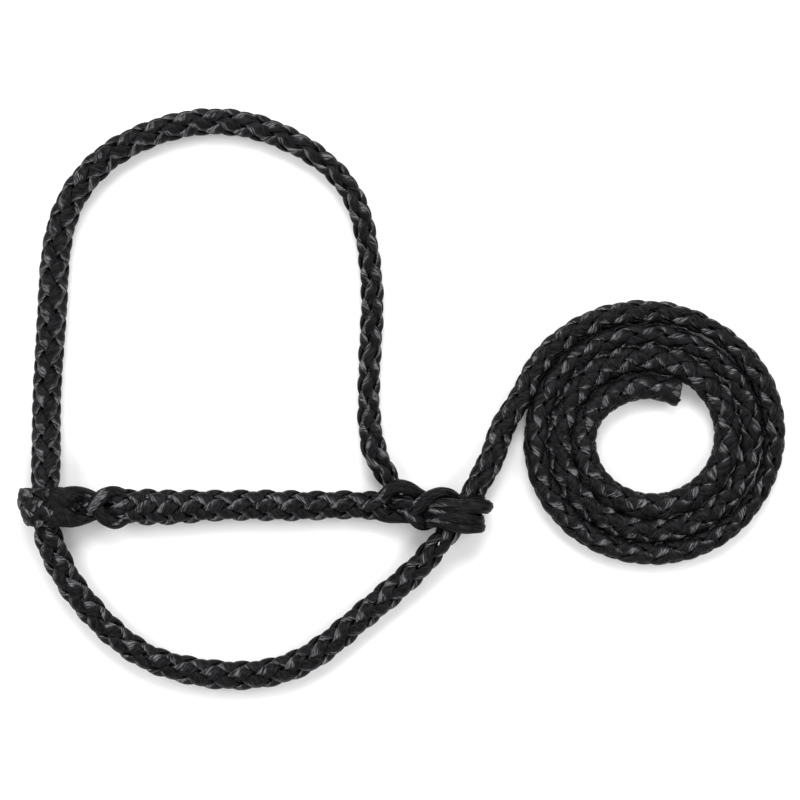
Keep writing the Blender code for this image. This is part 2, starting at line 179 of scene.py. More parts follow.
@dataclass(frozen=True)
class MeltedFinish:
    """Polypropylene that was melted with a hot knife and set: dark, uneven and a little glossy."""

    name: str
    dark: Triple = (0.006, 0.006, 0.007)
    light: Triple = (0.040, 0.040, 0.042)
    blotches: float = 620.0  # in a metre
    blisters: float = 1500.0
    roughness: float = 0.36
    roughness_range: float = 0.35
    specular: float = 0.5
    relief: float = 0.6
    relief_depth: float = 0.0003

    def make(self) -> bpy.types.Material:
        """Builds the material: blotched colour, mixed gloss and small blisters.

        Returns:
            A material that reads only the place on the object.
        """
        kit = NodeKit.for_new_material(self.name, self.specular)
        place = kit.tree.nodes.new("ShaderNodeTexCoord").outputs["Object"]
        blotches = kit.noise(place, scale=self.blotches, detail=4.0, rough=0.6)
        blisters = kit.noise(place, scale=self.blisters, detail=2.0, rough=0.5)
        colour = kit.mix(kit.ramp(blotches, 0.35, 0.75), self.dark, self.light)
        kit.tree.links.new(colour, kit.shader.inputs["Base Color"])
        kit.gloss(blotches, self.roughness_range, self.roughness - 0.15)
        kit.relief(blisters, self.relief, self.relief_depth)
        return kit.material


class NodeKit:
    """Short ways to add the shader nodes that the finishes share."""

    def __init__(self, material: bpy.types.Material) -> None:
        """Keeps the material, its nodes and its shader."""
        self.material = material
        self.tree = material.node_tree
        self.shader = self.tree.nodes["Principled BSDF"]

    @classmethod
    def for_new_material(cls, name: str, specular: float) -> "NodeKit":
        """Starts a material.

        Args:
            name: the material's name.
            specular: the shader's specular level.

        Returns:
            A kit for the new material.
        """
        material = bpy.data.materials.new(name)
        material.use_nodes = True
        kit = cls(material)
        kit.shader.inputs["Specular IOR Level"].default_value = specular
        return kit

    def gloss(self, value: Socket, spread: float, least: float) -> None:
        """Makes the roughness run from least to least plus spread with a value.

        Args:
            value: what it follows, from 0 to 1.
            spread: how far it rises.
            least: where it starts.
        """
        rough = self.math("ADD", self.math("MULTIPLY", value, spread), least)
        self.tree.links.new(rough, self.shader.inputs["Roughness"])

    def relief(self, height: Socket, strength: float, depth: float) -> None:
        """Raises the surface by a value: a bump of a strength and of a depth in metres.

        Args:
            height: the value.
            strength: the share of the bump that shows.
            depth: its depth in metres.
        """
        node = self.tree.nodes.new("ShaderNodeBump")
        node.inputs["Strength"].default_value = strength
        node.inputs["Distance"].default_value = depth
        self.tree.links.new(height, node.inputs["Height"])
        self.tree.links.new(node.outputs["Normal"], self.shader.inputs["Normal"])

    def attribute(self, name: str) -> Socket:
        """The value of a mesh attribute.

        Args:
            name: the attribute.

        Returns:
            The value's socket.
        """
        node = self.tree.nodes.new("ShaderNodeAttribute")
        node.attribute_name = name
        return node.outputs["Fac"]

    def math(self, kind: str, first: object, second: object) -> Socket:
        """One sum of two values, each a socket or a number.

        Args:
            kind: the operation's name.
            first: the first value.
            second: the second value.

        Returns:
            The result's socket.
        """
        node = self.tree.nodes.new("ShaderNodeMath")
        node.operation = kind
        for socket, value in zip(node.inputs, (first, second)):
            self.feed(socket, value)
        return node.outputs[0]

    def feed(self, socket: Socket, value: object) -> None:
        """Links a socket to another, or sets its number or its colour.

        Args:
            socket: the input.
            value: a socket, a number or a colour.
        """
        if isinstance(value, Socket):
            self.tree.links.new(value, socket)
        else:
            socket.default_value = (*value, 1.0) if isinstance(value, tuple) else value

    def combine(self, x: object, y: object, z: object) -> Socket:
        """A vector of three values.

        Args:
            x, y, z: sockets or numbers.

        Returns:
            The vector's socket.
        """
        node = self.tree.nodes.new("ShaderNodeCombineXYZ")
        for socket, value in zip(node.inputs, (x, y, z)):
            self.feed(socket, value)
        return node.outputs[0]

    def noise(self, place: Socket, scale: float, detail: float, rough: float) -> Socket:
        """A noise value at a place.

        Args:
            place: the vector socket that it reads.
            scale: how many features there are in one unit.
            detail: how many finer layers it has.
            rough: how strong the finer layers are.

        Returns:
            The noise value's socket.
        """
        node = self.tree.nodes.new("ShaderNodeTexNoise")
        node.inputs["Scale"].default_value = scale
        node.inputs["Detail"].default_value = detail
        node.inputs["Roughness"].default_value = rough
        self.tree.links.new(place, node.inputs["Vector"])
        return node.outputs["Fac"]

    def ramp(self, value: object, low: float, high: float) -> Socket:
        """A value that rises smoothly from 0 at low to 1 at high.

        Args:
            value: what it follows.
            low: where it is 0.
            high: where it is 1.

        Returns:
            The value's socket.
        """
        node = self.tree.nodes.new("ShaderNodeMapRange")
        node.interpolation_type = "SMOOTHSTEP"
        self.feed(node.inputs["Value"], value)
        node.inputs["From Min"].default_value = low
        node.inputs["From Max"].default_value = high
        return node.outputs["Result"]

    def mix(self, share: object, first: object, second: object) -> Socket:
        """A colour between two others, each a socket or a colour.

        Args:
            share: how much of the second.
            first: the first colour.
            second: the second colour.

        Returns:
            The colour's socket.
        """
        node = self.tree.nodes.new("ShaderNodeMix")
        node.data_type = "RGBA"
        self.feed(node.inputs["Factor"], share)
        self.feed(node.inputs[6], first)
        self.feed(node.inputs[7], second)
        return node.outputs[2]

    def scaled(self, colour: Socket, share: object, low: float, high: float) -> Socket:
        """A colour times a factor that runs from low to high.

        Args:
            colour: the colour.
            share: the value that the factor follows.
            low: the factor at 0.
            high: the factor at 1.

        Returns:
            The colour's socket.
        """
        factor = self.math("ADD", self.math("MULTIPLY", share, high - low), low)
        node = self.tree.nodes.new("ShaderNodeVectorMath")
        node.operation = "SCALE"
        self.tree.links.new(colour, node.inputs[0])
        self.tree.links.new(factor, node.inputs["Scale"])
        return node.outputs[0]


# ---------------------------------------------------------------------------------------------
# Geometry: centrelines, strands and braids


class CentreLine:
    """A smooth line through route points, with its frame and the rope's half width and height."""

    def __init__(
        self,
        route: Sequence[RoutePoint],
        facing: Facing = Facing.LEVEL,
        spacing: float = 0.0005,
    ) -> None:
        """Samples a natural cubic spline through the route.

        Args:
            route: points (x, y, z, half width, half height), or with one radius.
            facing: which direction stays level across the stretch.
            spacing: the step between samples.
        """
        knots = np.array([(*p, p[3]) if len(p) == 4 else p for p in route], float)
        steps = np.linalg.norm(np.diff(knots[:, :3], axis=0), axis=1)
        at = np.concatenate([[0.0], np.cumsum(steps)])
        bend = self._second_derivatives(knots, steps)
        where = np.linspace(0.0, at[-1], max(6, round(at[-1] / spacing) + 1))
        i = np.clip(np.searchsorted(at, where, side="right") - 1, 0, len(knots) - 2)
        h = steps[i][:, None]
        a, b = (at[i + 1] - where)[:, None], (where - at[i])[:, None]
        values = (
            (bend[i] * a**3 + bend[i + 1] * b**3) / (6 * h)
            + (knots[i] / h - bend[i] * h / 6) * a
            + (knots[i + 1] / h - bend[i + 1] * h / 6) * b
        )
        self.points = values[:, :3]
        self.half_width, self.half_height = values[:, 3], values[:, 4]
        runs = np.linalg.norm(np.diff(self.points, axis=0), axis=1)
        self.s = np.concatenate([[0.0], np.cumsum(runs)])
        self.length = float(self.s[-1])
        tangent = np.gradient(self.points, self.s, axis=0)
        tangent /= np.linalg.norm(tangent, axis=1)[:, None]
        if facing is Facing.LEVEL:
            side = np.cross((0.0, 0.0, 1.0), tangent)
        else:
            level = np.array(facing.value)
            side = level - (tangent @ level)[:, None] * tangent
        self.side = side / np.linalg.norm(side, axis=1)[:, None]
        self.up = np.cross(tangent, self.side)
        self.tangent = tangent
        self.flatness = float(np.mean(self.half_height / self.half_width))
        self.around = np.sqrt((self.half_width**2 + self.half_height**2) / 2)

    @staticmethod
    def _second_derivatives(knots: np.ndarray, steps: np.ndarray) -> np.ndarray:
        """The natural spline's second derivatives at its knots.

        Args:
            knots: the route, a row for each point.
            steps: the distances between them.

        Returns:
            The derivatives, a row for each knot.
        """
        n = len(knots)
        system, right = np.zeros((n, n)), np.zeros((n, knots.shape[1]))
        system[0, 0] = system[-1, -1] = 1.0
        for i in range(1, n - 1):
            system[i, i - 1 : i + 2] = steps[i - 1], 2 * (steps[i - 1] + steps[i]), steps[i]
            slopes = (knots[i + 1] - knots[i]) / steps[i]
            slopes = slopes - (knots[i] - knots[i - 1]) / steps[i - 1]
            right[i] = 6 * slopes
        return np.linalg.solve(system, right)

    def at(self, s: np.ndarray, values: np.ndarray) -> np.ndarray:
        """Values of the line, read at distances along it; past its ends the last one holds.

        Args:
            s: distances along the line, of any shape.
            values: one value or vector for each sample.

        Returns:
            The values, with the shape of s.
        """
        if values.ndim == 1:
            return np.interp(s, self.s, values)
        return np.stack([np.interp(s, self.s, values[:, k]) for k in range(3)], axis=-1)

    def surface(self, s: np.ndarray, theta: np.ndarray, depth: np.ndarray) -> np.ndarray:
        """Points of the rope's skin, so deep under it.

        Args:
            s: distances along the line.
            theta: angles round it, 0 on top and positive towards its side.
            depth: how far under the skin each point lies.

        Returns:
            The points, with one more axis than s.
        """
        beyond = s - np.clip(s, 0.0, self.length)
        theta = self.evened(theta)
        width = (self.at(s, self.half_width) - depth) * np.sin(theta)
        height = (self.at(s, self.half_height) - depth) * np.cos(theta)
        return (
            self.at(s, self.points)
            + self.at(s, self.tangent) * beyond[..., None]
            + self.at(s, self.side) * width[..., None]
            + self.at(s, self.up) * height[..., None]
        )

    def evened(self, theta: np.ndarray) -> np.ndarray:
        """Angles of the section that put equal lengths of skin between equal angles.

        Args:
            theta: angles as they would be on a round section.

        Returns:
            The section's own angles.
        """
        full = np.linspace(0.0, 2 * pi, 361)
        speed = np.hypot(np.cos(full), self.flatness * np.sin(full))
        reach = np.concatenate([[0.0], np.cumsum((speed[1:] + speed[:-1]) / 2)])
        turns = np.floor(theta / (2 * pi)) * 2 * pi
        return turns + np.interp(theta - turns, reach * 2 * pi / reach[-1], full)


@dataclass
class RopeMesh:
    """Vertices, faces and yarn measures of one visible piece, gathered strand by strand."""

    points: list[np.ndarray] = field(default_factory=list)
    faces: list[tuple[int, ...]] = field(default_factory=list)
    along: list[np.ndarray] = field(default_factory=list)
    across: list[np.ndarray] = field(default_factory=list)
    girth: list[np.ndarray] = field(default_factory=list)
    shade: list[np.ndarray] = field(default_factory=list)
    count: int = 0

    def add_loft(
        self, grid: np.ndarray, along: np.ndarray, across: np.ndarray, girth: np.ndarray,
        shade: float,
    ) -> None:
        """Adds a closed tube through rows of section points, with both ends capped.

        Args:
            grid: points (rows, section, 3).
            along: the distance along the strand of each point.
            across: each point's place across the strand, from -1 to 1.
            girth: the distance across the strand of each point.
            shade: the strand's own number, which varies its colour.
        """
        rows, ring = grid.shape[:2]
        first = self.count
        base = first + np.arange(rows - 1)[:, None] * ring
        here = base + np.arange(ring)[None, :]
        after = base + (np.arange(ring)[None, :] + 1) % ring
        quads = np.stack([here, after, after + ring, here + ring], axis=-1).reshape(-1, 4)
        self.faces.extend(map(tuple, quads.tolist()))
        self.faces.append(tuple(range(first + ring - 1, first - 1, -1)))
        last = first + (rows - 1) * ring
        self.faces.append(tuple(range(last, last + ring)))
        self.points.append(grid.reshape(-1, 3))
        self.along.append(along.ravel())
        self.across.append(across.ravel())
        self.girth.append(girth.ravel())
        self.shade.append(np.full(rows * ring, shade))
        self.count += rows * ring

    def build(
        self, name: str, slot: str, looks: Looks, nodes: Sequence[str], body: str = "noseband"
    ) -> bpy.types.Object:
        """Makes the object, and says what it is finished from and what it stands for.

        Args:
            name: the piece's name.
            slot: the record's material slot, by which looks holds its finish.
            looks: the finishes.
            nodes: the CAD nodes that it replaces.
            body: the body that it rides on, or nothing where it rides on none.

        Returns:
            The object, linked to the scene.
        """
        mesh = bpy.data.meshes.new(name)
        mesh.from_pydata(np.concatenate(self.points).tolist(), [], self.faces)
        for word in ("along", "across", "girth", "shade"):
            values = np.concatenate(getattr(self, word)).astype(np.float32)
            mesh.attributes.new(word, "FLOAT", "POINT").data.foreach_set("value", values)
        mesh.materials.append(looks[slot])
        mesh.shade_smooth()
        mesh.update()
        made = bpy.data.objects.new(name, mesh)
        bpy.context.scene.collection.objects.link(made)
        if body:
            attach(made, body)
        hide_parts(*nodes)
        log.info("%s stands for %s", name, ", ".join(nodes))
        return made


# A drift's waves: (share, frequency, how the seed shifts it, shift).
DRIFT_WAVES = ((0.55, 1.0, 5.3, 0.0), (0.30, 1.73, 2.9, 1.0), (0.15, 3.1, 7.7, 0.0))


@dataclass(frozen=True)
class Drift:
    """A slow, smooth wander along a strand, between about its amount each way."""

    amount: float
    wavelength: float

    def at(self, s: np.ndarray, seed: float) -> np.ndarray:
        """The wander at distances along a strand, for the seed of that strand.

        Args:
            s: the distances.
            seed: a number that differs from strand to strand.

        Returns:
            The wander at each distance.
        """
        turn = 2 * pi * s / self.wavelength
        return self.amount * sum(
            share * np.sin(frequency * turn + by_seed * seed + shift)
            for share, frequency, by_seed, shift in DRIFT_WAVES
        )


@dataclass
class Braid:
    """A stretch of hollow braid along a centreline: eight strands, one over and one under."""

    line: CentreLine
    roll: float = 0.0  # where the first strands' floats lie, in degrees from the top
    roll_drift: float = 0.0  # how far that turns along the stretch, in degrees
    step: float = 0.0010  # between the rows of a strand
    thickness: float = STRAND_THICKNESS
    fullness: float = 1.03  # of the width that would close the braid
    run: float = STRAND_RUN
    swell: float = 0.0003  # how far the floats stand out of the rope's nominal skin
    thin: float = 0.10  # the tracer's share of a strand along most of a float
    leaf: float = 0.50  # and in the leaf that shows after a forward strand comes up
    leaf_place: float = -0.9  # the leaf's middle, from -pi/2 where the strand comes up
    leaf_reach: float = 0.9  # and its half length on the same scale
    backward_leaf: float = 0.5  # how much of that strands that lean backward have
    tail: float = 0.06  # what is added to the share where a strand dives
    seed: float = 0.0

    FLOAT_FLATNESS = 1.0
    LEAN_EASE = 0.055
    LEAST_ADVANCE = 0.45  # of the run, where the rope is too thick for it
    MOST_LEAN = 0.89  # the sine of the steepest lean
    FLANKS = (0.32, 0.68)  # of a yarn's width, between its grooves
    GROOVE = 0.00012
    SECTION_POWER, SHOULDER_POWER = 2.1, 0.62
    UNDER_REACH, UNDER_HEIGHT = (0.62, -0.62), -0.85
    THICKEST = 0.43  # of the rope's half height
    WIDTH, WIDER_ON_TOP = 1.05, 0.10
    TURN_DRIFT = Drift(0.045, 0.075)
    THICKNESS_DRIFT = Drift(0.05, 0.06)
    WIDTH_DRIFT = Drift(0.04, 0.05)
    TRACER_DRIFT = Drift(0.10, 0.021)
    DIVE_PLACE, DIVE_REACH = 0.85, 0.55

    def weave(self, into: RopeMesh) -> None:
        """Adds all strands to a mesh.

        Args:
            into: the mesh.
        """
        for number in range(HALF_BRAID):
            for lean in Lean:
                self._strand(into, number, lean)

    def _phase(self) -> np.ndarray:
        """How far the strands have turned round the rope at each sample of the line."""
        column = 2 * pi * self.line.around / (2 * HALF_BRAID)
        least = (self.LEAST_ADVANCE * self.run) ** 2
        advance = np.sqrt(np.maximum(self.run**2 - column**2, least))
        rate = (pi / HALF_BRAID) / advance
        steps = np.diff(self.line.s) * (rate[1:] + rate[:-1]) / 2
        return np.concatenate([[0.0], np.cumsum(steps)])

    def _section(self) -> tuple[np.ndarray, np.ndarray]:
        """The strand's section: places across from -1 to 1, and heights from -1 to 1."""
        top = []
        for yarn in range(YARNS):
            top.append((-1 + 2 * (yarn + 0.0) / YARNS, 1.0))
            top.extend((-1 + 2 * (yarn + flank) / YARNS, 0.0) for flank in self.FLANKS)
        top.append((1.0, 1.0))
        x, groove = np.array(top).T
        crown = np.maximum(1 - np.abs(x) ** self.SECTION_POWER, 0.0) ** self.SHOULDER_POWER
        crown = crown - groove * (np.abs(x) < 0.99) * self.GROOVE / (self.thickness / 2)
        x = np.concatenate([x, self.UNDER_REACH])
        return x, np.concatenate([crown, [self.UNDER_HEIGHT] * 2])

    def _strand(self, into: RopeMesh, number: int, lean: Lean) -> None:
        """Adds one strand.

        Args:
            into: the mesh it goes in.
            number: which of the strands with this lean it is.
            lean: the way it spirals.
        """
        line, sign = self.line, lean.value
        s = np.linspace(0.0, line.length, max(4, round(line.length / self.step) + 1))
        own = self.seed + 1.37 * number + 0.61 * (sign + 1)
        phase = np.interp(s, line.s, self._phase())
        around = np.interp(s, line.s, line.around)
        column = 2 * pi * around / (2 * HALF_BRAID)
        angle = np.arcsin(np.clip(column / self.run, 0.0, self.MOST_LEAN))
        swing = np.cos(HALF_BRAID * phase) * sign
        over = np.tanh(self.FLOAT_FLATNESS * swing) / np.tanh(self.FLOAT_FLATNESS)
        turned = phase - sign * (self.LEAN_EASE * np.sin(HALF_BRAID * phase))
        theta = np.radians(self.roll + self.roll_drift * s / line.length)
        theta = theta + 2 * pi * number / HALF_BRAID + sign * turned
        theta = theta + self.TURN_DRIFT.at(s, own)

        lowest = np.minimum(np.interp(s, line.s, line.half_height), around)
        thick = np.minimum(self.thickness, self.THICKEST * lowest)
        thick = thick * (1 + self.THICKNESS_DRIFT.at(s, own + 2))
        width = 2 * pi * (around - thick) / HALF_BRAID * np.cos(angle) * self.fullness
        width = width * (self.WIDTH + self.WIDER_ON_TOP * over + self.WIDTH_DRIFT.at(s, own + 4))

        x, height = self._section()
        v = x[None, :] * width[:, None] / 2
        s_point = s[:, None] + v * np.sin(angle)[:, None]
        theta_point = theta[:, None] - sign * v * np.cos(angle)[:, None] / around[:, None]
        depth = thick[:, None] * (1 - over[:, None] / 2 - height[None, :] / 2) - self.swell
        grid = line.surface(s_point, theta_point, depth)
        shown = self._tracer_share(HALF_BRAID * phase, lean) + self.TRACER_DRIFT.at(s, own + 6)
        across = x[None, :] - 2 * (shown - TRACER_SHARE)[:, None]
        if sign < 0:
            grid, across, v = grid[:, ::-1], across[:, ::-1], v[:, ::-1]
        along = np.broadcast_to((s / np.cos(angle))[:, None], grid.shape[:2]) + own
        into.add_loft(grid, along, across, v, (own * 0.37) % 1.0)

    def _tracer_share(self, phase: np.ndarray, lean: Lean) -> np.ndarray:
        """How much of a strand's width its tracer takes: most where the strand comes up.

        Args:
            phase: the braid's phase, one turn from one float to the strand's next.
            lean: the way the strand spirals.

        Returns:
            The share at each row.
        """
        place = np.arctan2(np.sin(phase) * lean.value, np.cos(phase) * lean.value)
        rising = np.exp(-(((place - self.leaf_place) / self.leaf_reach) ** 2))
        falling = np.exp(-(((place - self.DIVE_PLACE) / self.DIVE_REACH) ** 2))
        strength = 1.0 if lean is Lean.FORWARD else self.backward_leaf
        return self.thin + (self.leaf - self.thin) * strength * rising + self.tail * falling


@dataclass
class OpenedStrands:
    """Half of the rope's strands, pushed aside in one bundle where a splice opens the braid."""

    line: CentreLine
    yarns: int = 9
    twist: float = 0.5  # turns along the bundle
    step: float = 0.0004
    seed: float = 0.0
    tracers: tuple[int, ...] = (1, 5)
    tracer_from: float = 0.0  # where along the bundle the tracers come to the surface
    tracer_to: float = 1.0  # and where they go under again

    POINTS_A_YARN = 7
    VALLEY, VALLEY_POWER = 0.12, 3.0
    UNEVEN, LOBES, LOBE_TWIST = 0.05, 3, 300  # lobes round the bundle, and their turn along it
    TURN_DRIFT = Drift(0.10, 0.02)
    HIDING, HIDDEN_AT = 0.10, 1.2  # the share of the length over which a tracer goes under
    TRACED, PLAIN = (-0.85, 0.35), (0.45, 0.12)  # a yarn's middle place across, and its spread

    def lay(self, into: RopeMesh) -> None:
        """Adds the bundle to a mesh.

        Args:
            into: the mesh.
        """
        line = self.line
        rows = max(6, round(line.length / self.step) + 1)
        s = np.linspace(0.0, line.length, rows)
        ring = self.yarns * self.POINTS_A_YARN
        place = np.arange(ring) / ring
        yarn = np.floor(place * self.yarns + 0.5) % self.yarns
        in_yarn = np.abs(((place * self.yarns + 0.5) % 1.0) - 0.5) * 2
        valley = self.VALLEY * np.power(in_yarn, self.VALLEY_POWER)
        theta = 2 * pi * (place[None, :] + self.twist * s[:, None] / line.length)
        theta = theta + self.TURN_DRIFT.at(s, self.seed)[:, None]
        radius = np.minimum(line.at(s, line.half_width), line.at(s, line.half_height))
        lobes = np.sin(self.LOBES * theta + 9 * self.seed + self.LOBE_TWIST * s[:, None])
        depth = radius[:, None] * (valley[None, :] + self.UNEVEN * lobes)
        grid = line.surface(np.broadcast_to(s[:, None], theta.shape), theta, depth)
        share = s / line.length
        near = np.maximum(self.tracer_from - share, share - self.tracer_to)
        hidden = np.clip(near / self.HIDING, 0.0, self.HIDDEN_AT)
        traced = np.isin(yarn, self.tracers)
        across = np.where(traced[None, :], self.TRACED[0] + hidden[:, None], self.PLAIN[0])
        spread = np.where(traced, self.TRACED[1], self.PLAIN[1])[None, :]
        across = across + spread * (in_yarn - 0.5)
        along = np.broadcast_to(s[:, None], theta.shape) + self.seed
        girth = theta * radius[:, None]
        into.add_loft(grid[:, ::-1], along, across[:, ::-1], girth[:, ::-1],
                      (self.seed * 0.61) % 1.0)


# ---------------------------------------------------------------------------------------------
# The halter's sub-assemblies


@dataclass(frozen=True)
class Bundle:
    """One side of an opening in the braid: half of its strands, pushed aside."""

    node: str
    route: Route  # see in_halter
    seed: float
    tracers: tuple[int, ...]  # which of its yarns are grey
    seen: tuple[float, float]  # the stretch, as shares of its length, where those show

    RADIUS = 0.0036

    def build(self, looks: Looks) -> None:
        """Lays the bundle's yarns.

        Args:
            looks: the finishes.
        """
        mesh = RopeMesh()
        OpenedStrands(
            CentreLine(in_halter(self.route, self.RADIUS)), twist=0.3, seed=self.seed,
            tracers=self.tracers, tracer_from=self.seen[0], tracer_to=self.seen[1],
        ).lay(mesh)
        mesh.build(f"{self.node}_yarns", "strand", looks, [self.node])


@dataclass(frozen=True)
class Core:
    """The squeezed rope that comes up through an opening."""

    node: str
    route: Route
    seed: float

    RADIUS = 0.0046

    def build(self, looks: Looks) -> None:
        """Weaves the core.

        Args:
            looks: the finishes.
        """
        mesh = RopeMesh()
        line = CentreLine(in_halter(self.route, self.RADIUS), Facing.ACROSS)
        Braid(line, roll=15.0, seed=self.seed, step=0.0005, leaf=0.7, thin=0.2).weave(mesh)
        mesh.build(f"{self.node}_braid", "braid", looks, [self.node])


def in_halter(route: Sequence[RoutePoint], radius: float) -> list[RoutePoint]:
    """A splice's route in the halter's frame.

    Args:
        route: points (x, distance above the noseband's line, z), and perhaps a half width
            and a half height.
        radius: the half thickness where a point has none of its own.

    Returns:
        The route's points with their half widths and half heights.
    """
    return [
        (x, NOSE_Y + offset, z, *(sizes or (radius, radius))) for x, offset, z, *sizes in route
    ]


@dataclass
class Noseband:
    """The doubled middle of the halter: a swollen hollow braid with the rope's tail in it."""

    tail_height: float = 0.0084
    tail_radius: float = 0.0041
    tail_x: tuple[float, ...] = (-0.063, -0.040, -0.016)
    # The melted tip: (x from the tail's end, how much thinner it is than the tail).
    tip: tuple[tuple[float, float], ...] = ((-0.001, 0.0003), (0.001, 0.0005), (0.003, 0.0015))
    route: Route = (
        (-0.0650, NOSE_Y, 0.0088, 0.0086), (-0.0560, NOSE_Y - 0.0004, 0.0092, 0.0093),
        (-0.0480, NOSE_Y - 0.0006, 0.0091, 0.0091), (-0.0380, NOSE_Y - 0.0004, 0.0088, 0.0088),
        (-0.0280, NOSE_Y, 0.0083, 0.0083), (-0.0180, NOSE_Y + 0.0003, 0.0080, 0.0080),
        (0.0020, NOSE_Y + 0.0004, 0.0080, 0.0080), (0.0180, NOSE_Y + 0.0002, 0.0079, 0.0079),
        (0.0320, NOSE_Y + 0.0003, 0.0076, 0.0075), (0.0480, NOSE_Y + 0.0006, 0.0078, 0.0074),
        (0.0600, NOSE_Y + 0.0002, 0.0082, 0.0072), (0.0660, NOSE_Y, 0.0084, 0.0068),
    )

    def build(self, looks: Looks) -> None:
        """Builds the noseband's braid, the tail inside it and the tail's sealed tip.

        Args:
            looks: the finishes.
        """
        sleeve = RopeMesh()
        Braid(
            CentreLine(self.route), seed=0.2, thin=0.27, leaf=0.46, swell=0.0,
            leaf_place=-1.4, leaf_reach=0.5, backward_leaf=0.4,
        ).weave(sleeve)
        sleeve.build("noseband_braid", "braid", looks, ["noseband_rope"])

        tail = RopeMesh()
        route = [(x, NOSE_Y, self.tail_height, self.tail_radius) for x in self.tail_x]
        Braid(CentreLine(route), roll=20.0, seed=1.2, thickness=0.0017).weave(tail)
        tail.build("tail_in_noseband", "inner", looks, ["buried_tail"])

        tip = RopeMesh()
        route = [
            (self.tail_x[-1] + x, NOSE_Y, self.tail_height, self.tail_radius - thinner)
            for x, thinner in self.tip
        ]
        OpenedStrands(CentreLine(route), yarns=8, twist=0.02, seed=0.7).lay(tip)
        tip.build("tail_melted_tip", "melted", looks, ["tail_seal"])


@dataclass
class LeftSplice:
    """The near-side eye: its front rope opens for the back rope, which then opens for it."""

    front_upper: Route = (
        (-0.1020, 0.0040, 0.0212, 0.0054, 0.0020), (-0.0985, 0.0040, 0.0222, 0.0056, 0.0026),
        (-0.0945, 0.0046, 0.0202, 0.0052, 0.0032), (-0.0905, 0.0064, 0.0168, 0.0040, 0.0036),
        (-0.0868, 0.0066, 0.0138, 0.0035, 0.0036), (-0.0828, 0.0050, 0.0116, 0.0034, 0.0034),
        (-0.0792, 0.0024, 0.0102, 0.0034, 0.0034), (-0.0770, 0.0010, 0.0098, 0.0032, 0.0032),
    )
    front_lower: Route = (
        (-0.1020, -0.0044, 0.0208, 0.0054, 0.0020), (-0.0985, -0.0044, 0.0218, 0.0056, 0.0026),
        (-0.0945, -0.0048, 0.0198, 0.0052, 0.0032), (-0.0905, -0.0060, 0.0164, 0.0042, 0.0036),
        (-0.0868, -0.0058, 0.0134, 0.0036, 0.0036), (-0.0828, -0.0046, 0.0114, 0.0036, 0.0034),
        (-0.0792, -0.0030, 0.0102, 0.0034, 0.0034), (-0.0770, -0.0020, 0.0098, 0.0032, 0.0032),
    )
    back_core: Route = (
        (-0.0920, 0.0, 0.0060, 0.0062, 0.0040), (-0.0895, 0.0, 0.0078, 0.0060, 0.0040),
        (-0.0862, 0.0, 0.0108, 0.0056, 0.0040), (-0.0825, 0.0002, 0.0146, 0.0048, 0.0040),
        (-0.0795, 0.0004, 0.0160, 0.0040, 0.0036),
    )
    back_upper: Route = (
        (-0.0818, -0.0010, 0.0158), (-0.0796, 0.0014, 0.0168), (-0.0768, 0.0044, 0.0160),
        (-0.0735, 0.0064, 0.0140), (-0.0702, 0.0068, 0.0118), (-0.0672, 0.0054, 0.0096),
        (-0.0645, 0.0036, 0.0084),
    )
    back_lower: Route = (
        (-0.0812, 0.0014, 0.0150), (-0.0788, -0.0012, 0.0160), (-0.0760, -0.0044, 0.0152),
        (-0.0728, -0.0068, 0.0132), (-0.0698, -0.0077, 0.0112), (-0.0668, -0.0064, 0.0092),
        (-0.0642, -0.0044, 0.0080),
    )
    front_core: Route = (
        (-0.0775, 0.0, 0.0078, 0.0060, 0.0042), (-0.0745, 0.0, 0.0086, 0.0062, 0.0042),
        (-0.0712, 0.0, 0.0112, 0.0062, 0.0044), (-0.0680, 0.0, 0.0134, 0.0062, 0.0044),
        (-0.0640, 0.0, 0.0120, 0.0062, 0.0050),
    )
    eye_y: float = -0.0538
    eye_half_width: float = 0.0097
    eye_half_height: float = 0.0031
    eye_path: tuple[tuple[float, float], ...] = (
        (-0.0905, 0.0140), (-0.0940, 0.0172), (-0.0990, 0.0208), (-0.1045, 0.0214),
        (-0.1110, 0.0195), (-0.1150, 0.0124), (-0.1110, 0.0055), (-0.1045, 0.0032),
        (-0.0985, 0.0032), (-0.0928, 0.0034), (-0.0880, 0.0044),
    )

    def build(self, looks: Looks) -> None:
        """Builds the eye, the strands that open on both faces and the ropes through them.

        Args:
            looks: the finishes.
        """
        eye_route = [
            (x, self.eye_y, z, self.eye_half_width, self.eye_half_height)
            for x, z in self.eye_path
        ]
        eye = RopeMesh()
        line = CentreLine(eye_route, Facing.EYE_SLANT)
        Braid(
            line, roll=-20.0, seed=2.4, step=0.0006, run=0.0077, leaf=0.62, thin=0.12,
            backward_leaf=0.8,
        ).weave(eye)
        eye.build("left_eye_braid", "braid", looks, ["left_eye"])

        for part in (
            Bundle("left_front_strands_upper", self.front_upper, 0.4, (7,), (0.66, 1.0)),
            Bundle("left_front_strands_lower", self.front_lower, 1.3, (1,), (0.78, 1.0)),
            Bundle("left_back_strands_upper", self.back_upper, 1.9, (0, 8), (0.0, 0.42)),
            Bundle("left_back_strands_lower", self.back_lower, 2.7, (7,), (0.60, 0.85)),
            Core("left_back_core", self.back_core, 3.1),
            Core("left_front_core", self.front_core, 3.7),
        ):
            part.build(looks)


@dataclass(frozen=True)
class Rib:
    """One of the four ribs of the flattened rope round the loop."""

    near: float  # its offset from the loop's middle at the splice
    far: float  # and at the bend
    half_width: float
    short: float  # how far its bend falls short of the longest rib's
    turn: float
    grey: int  # which of its yarns is grey


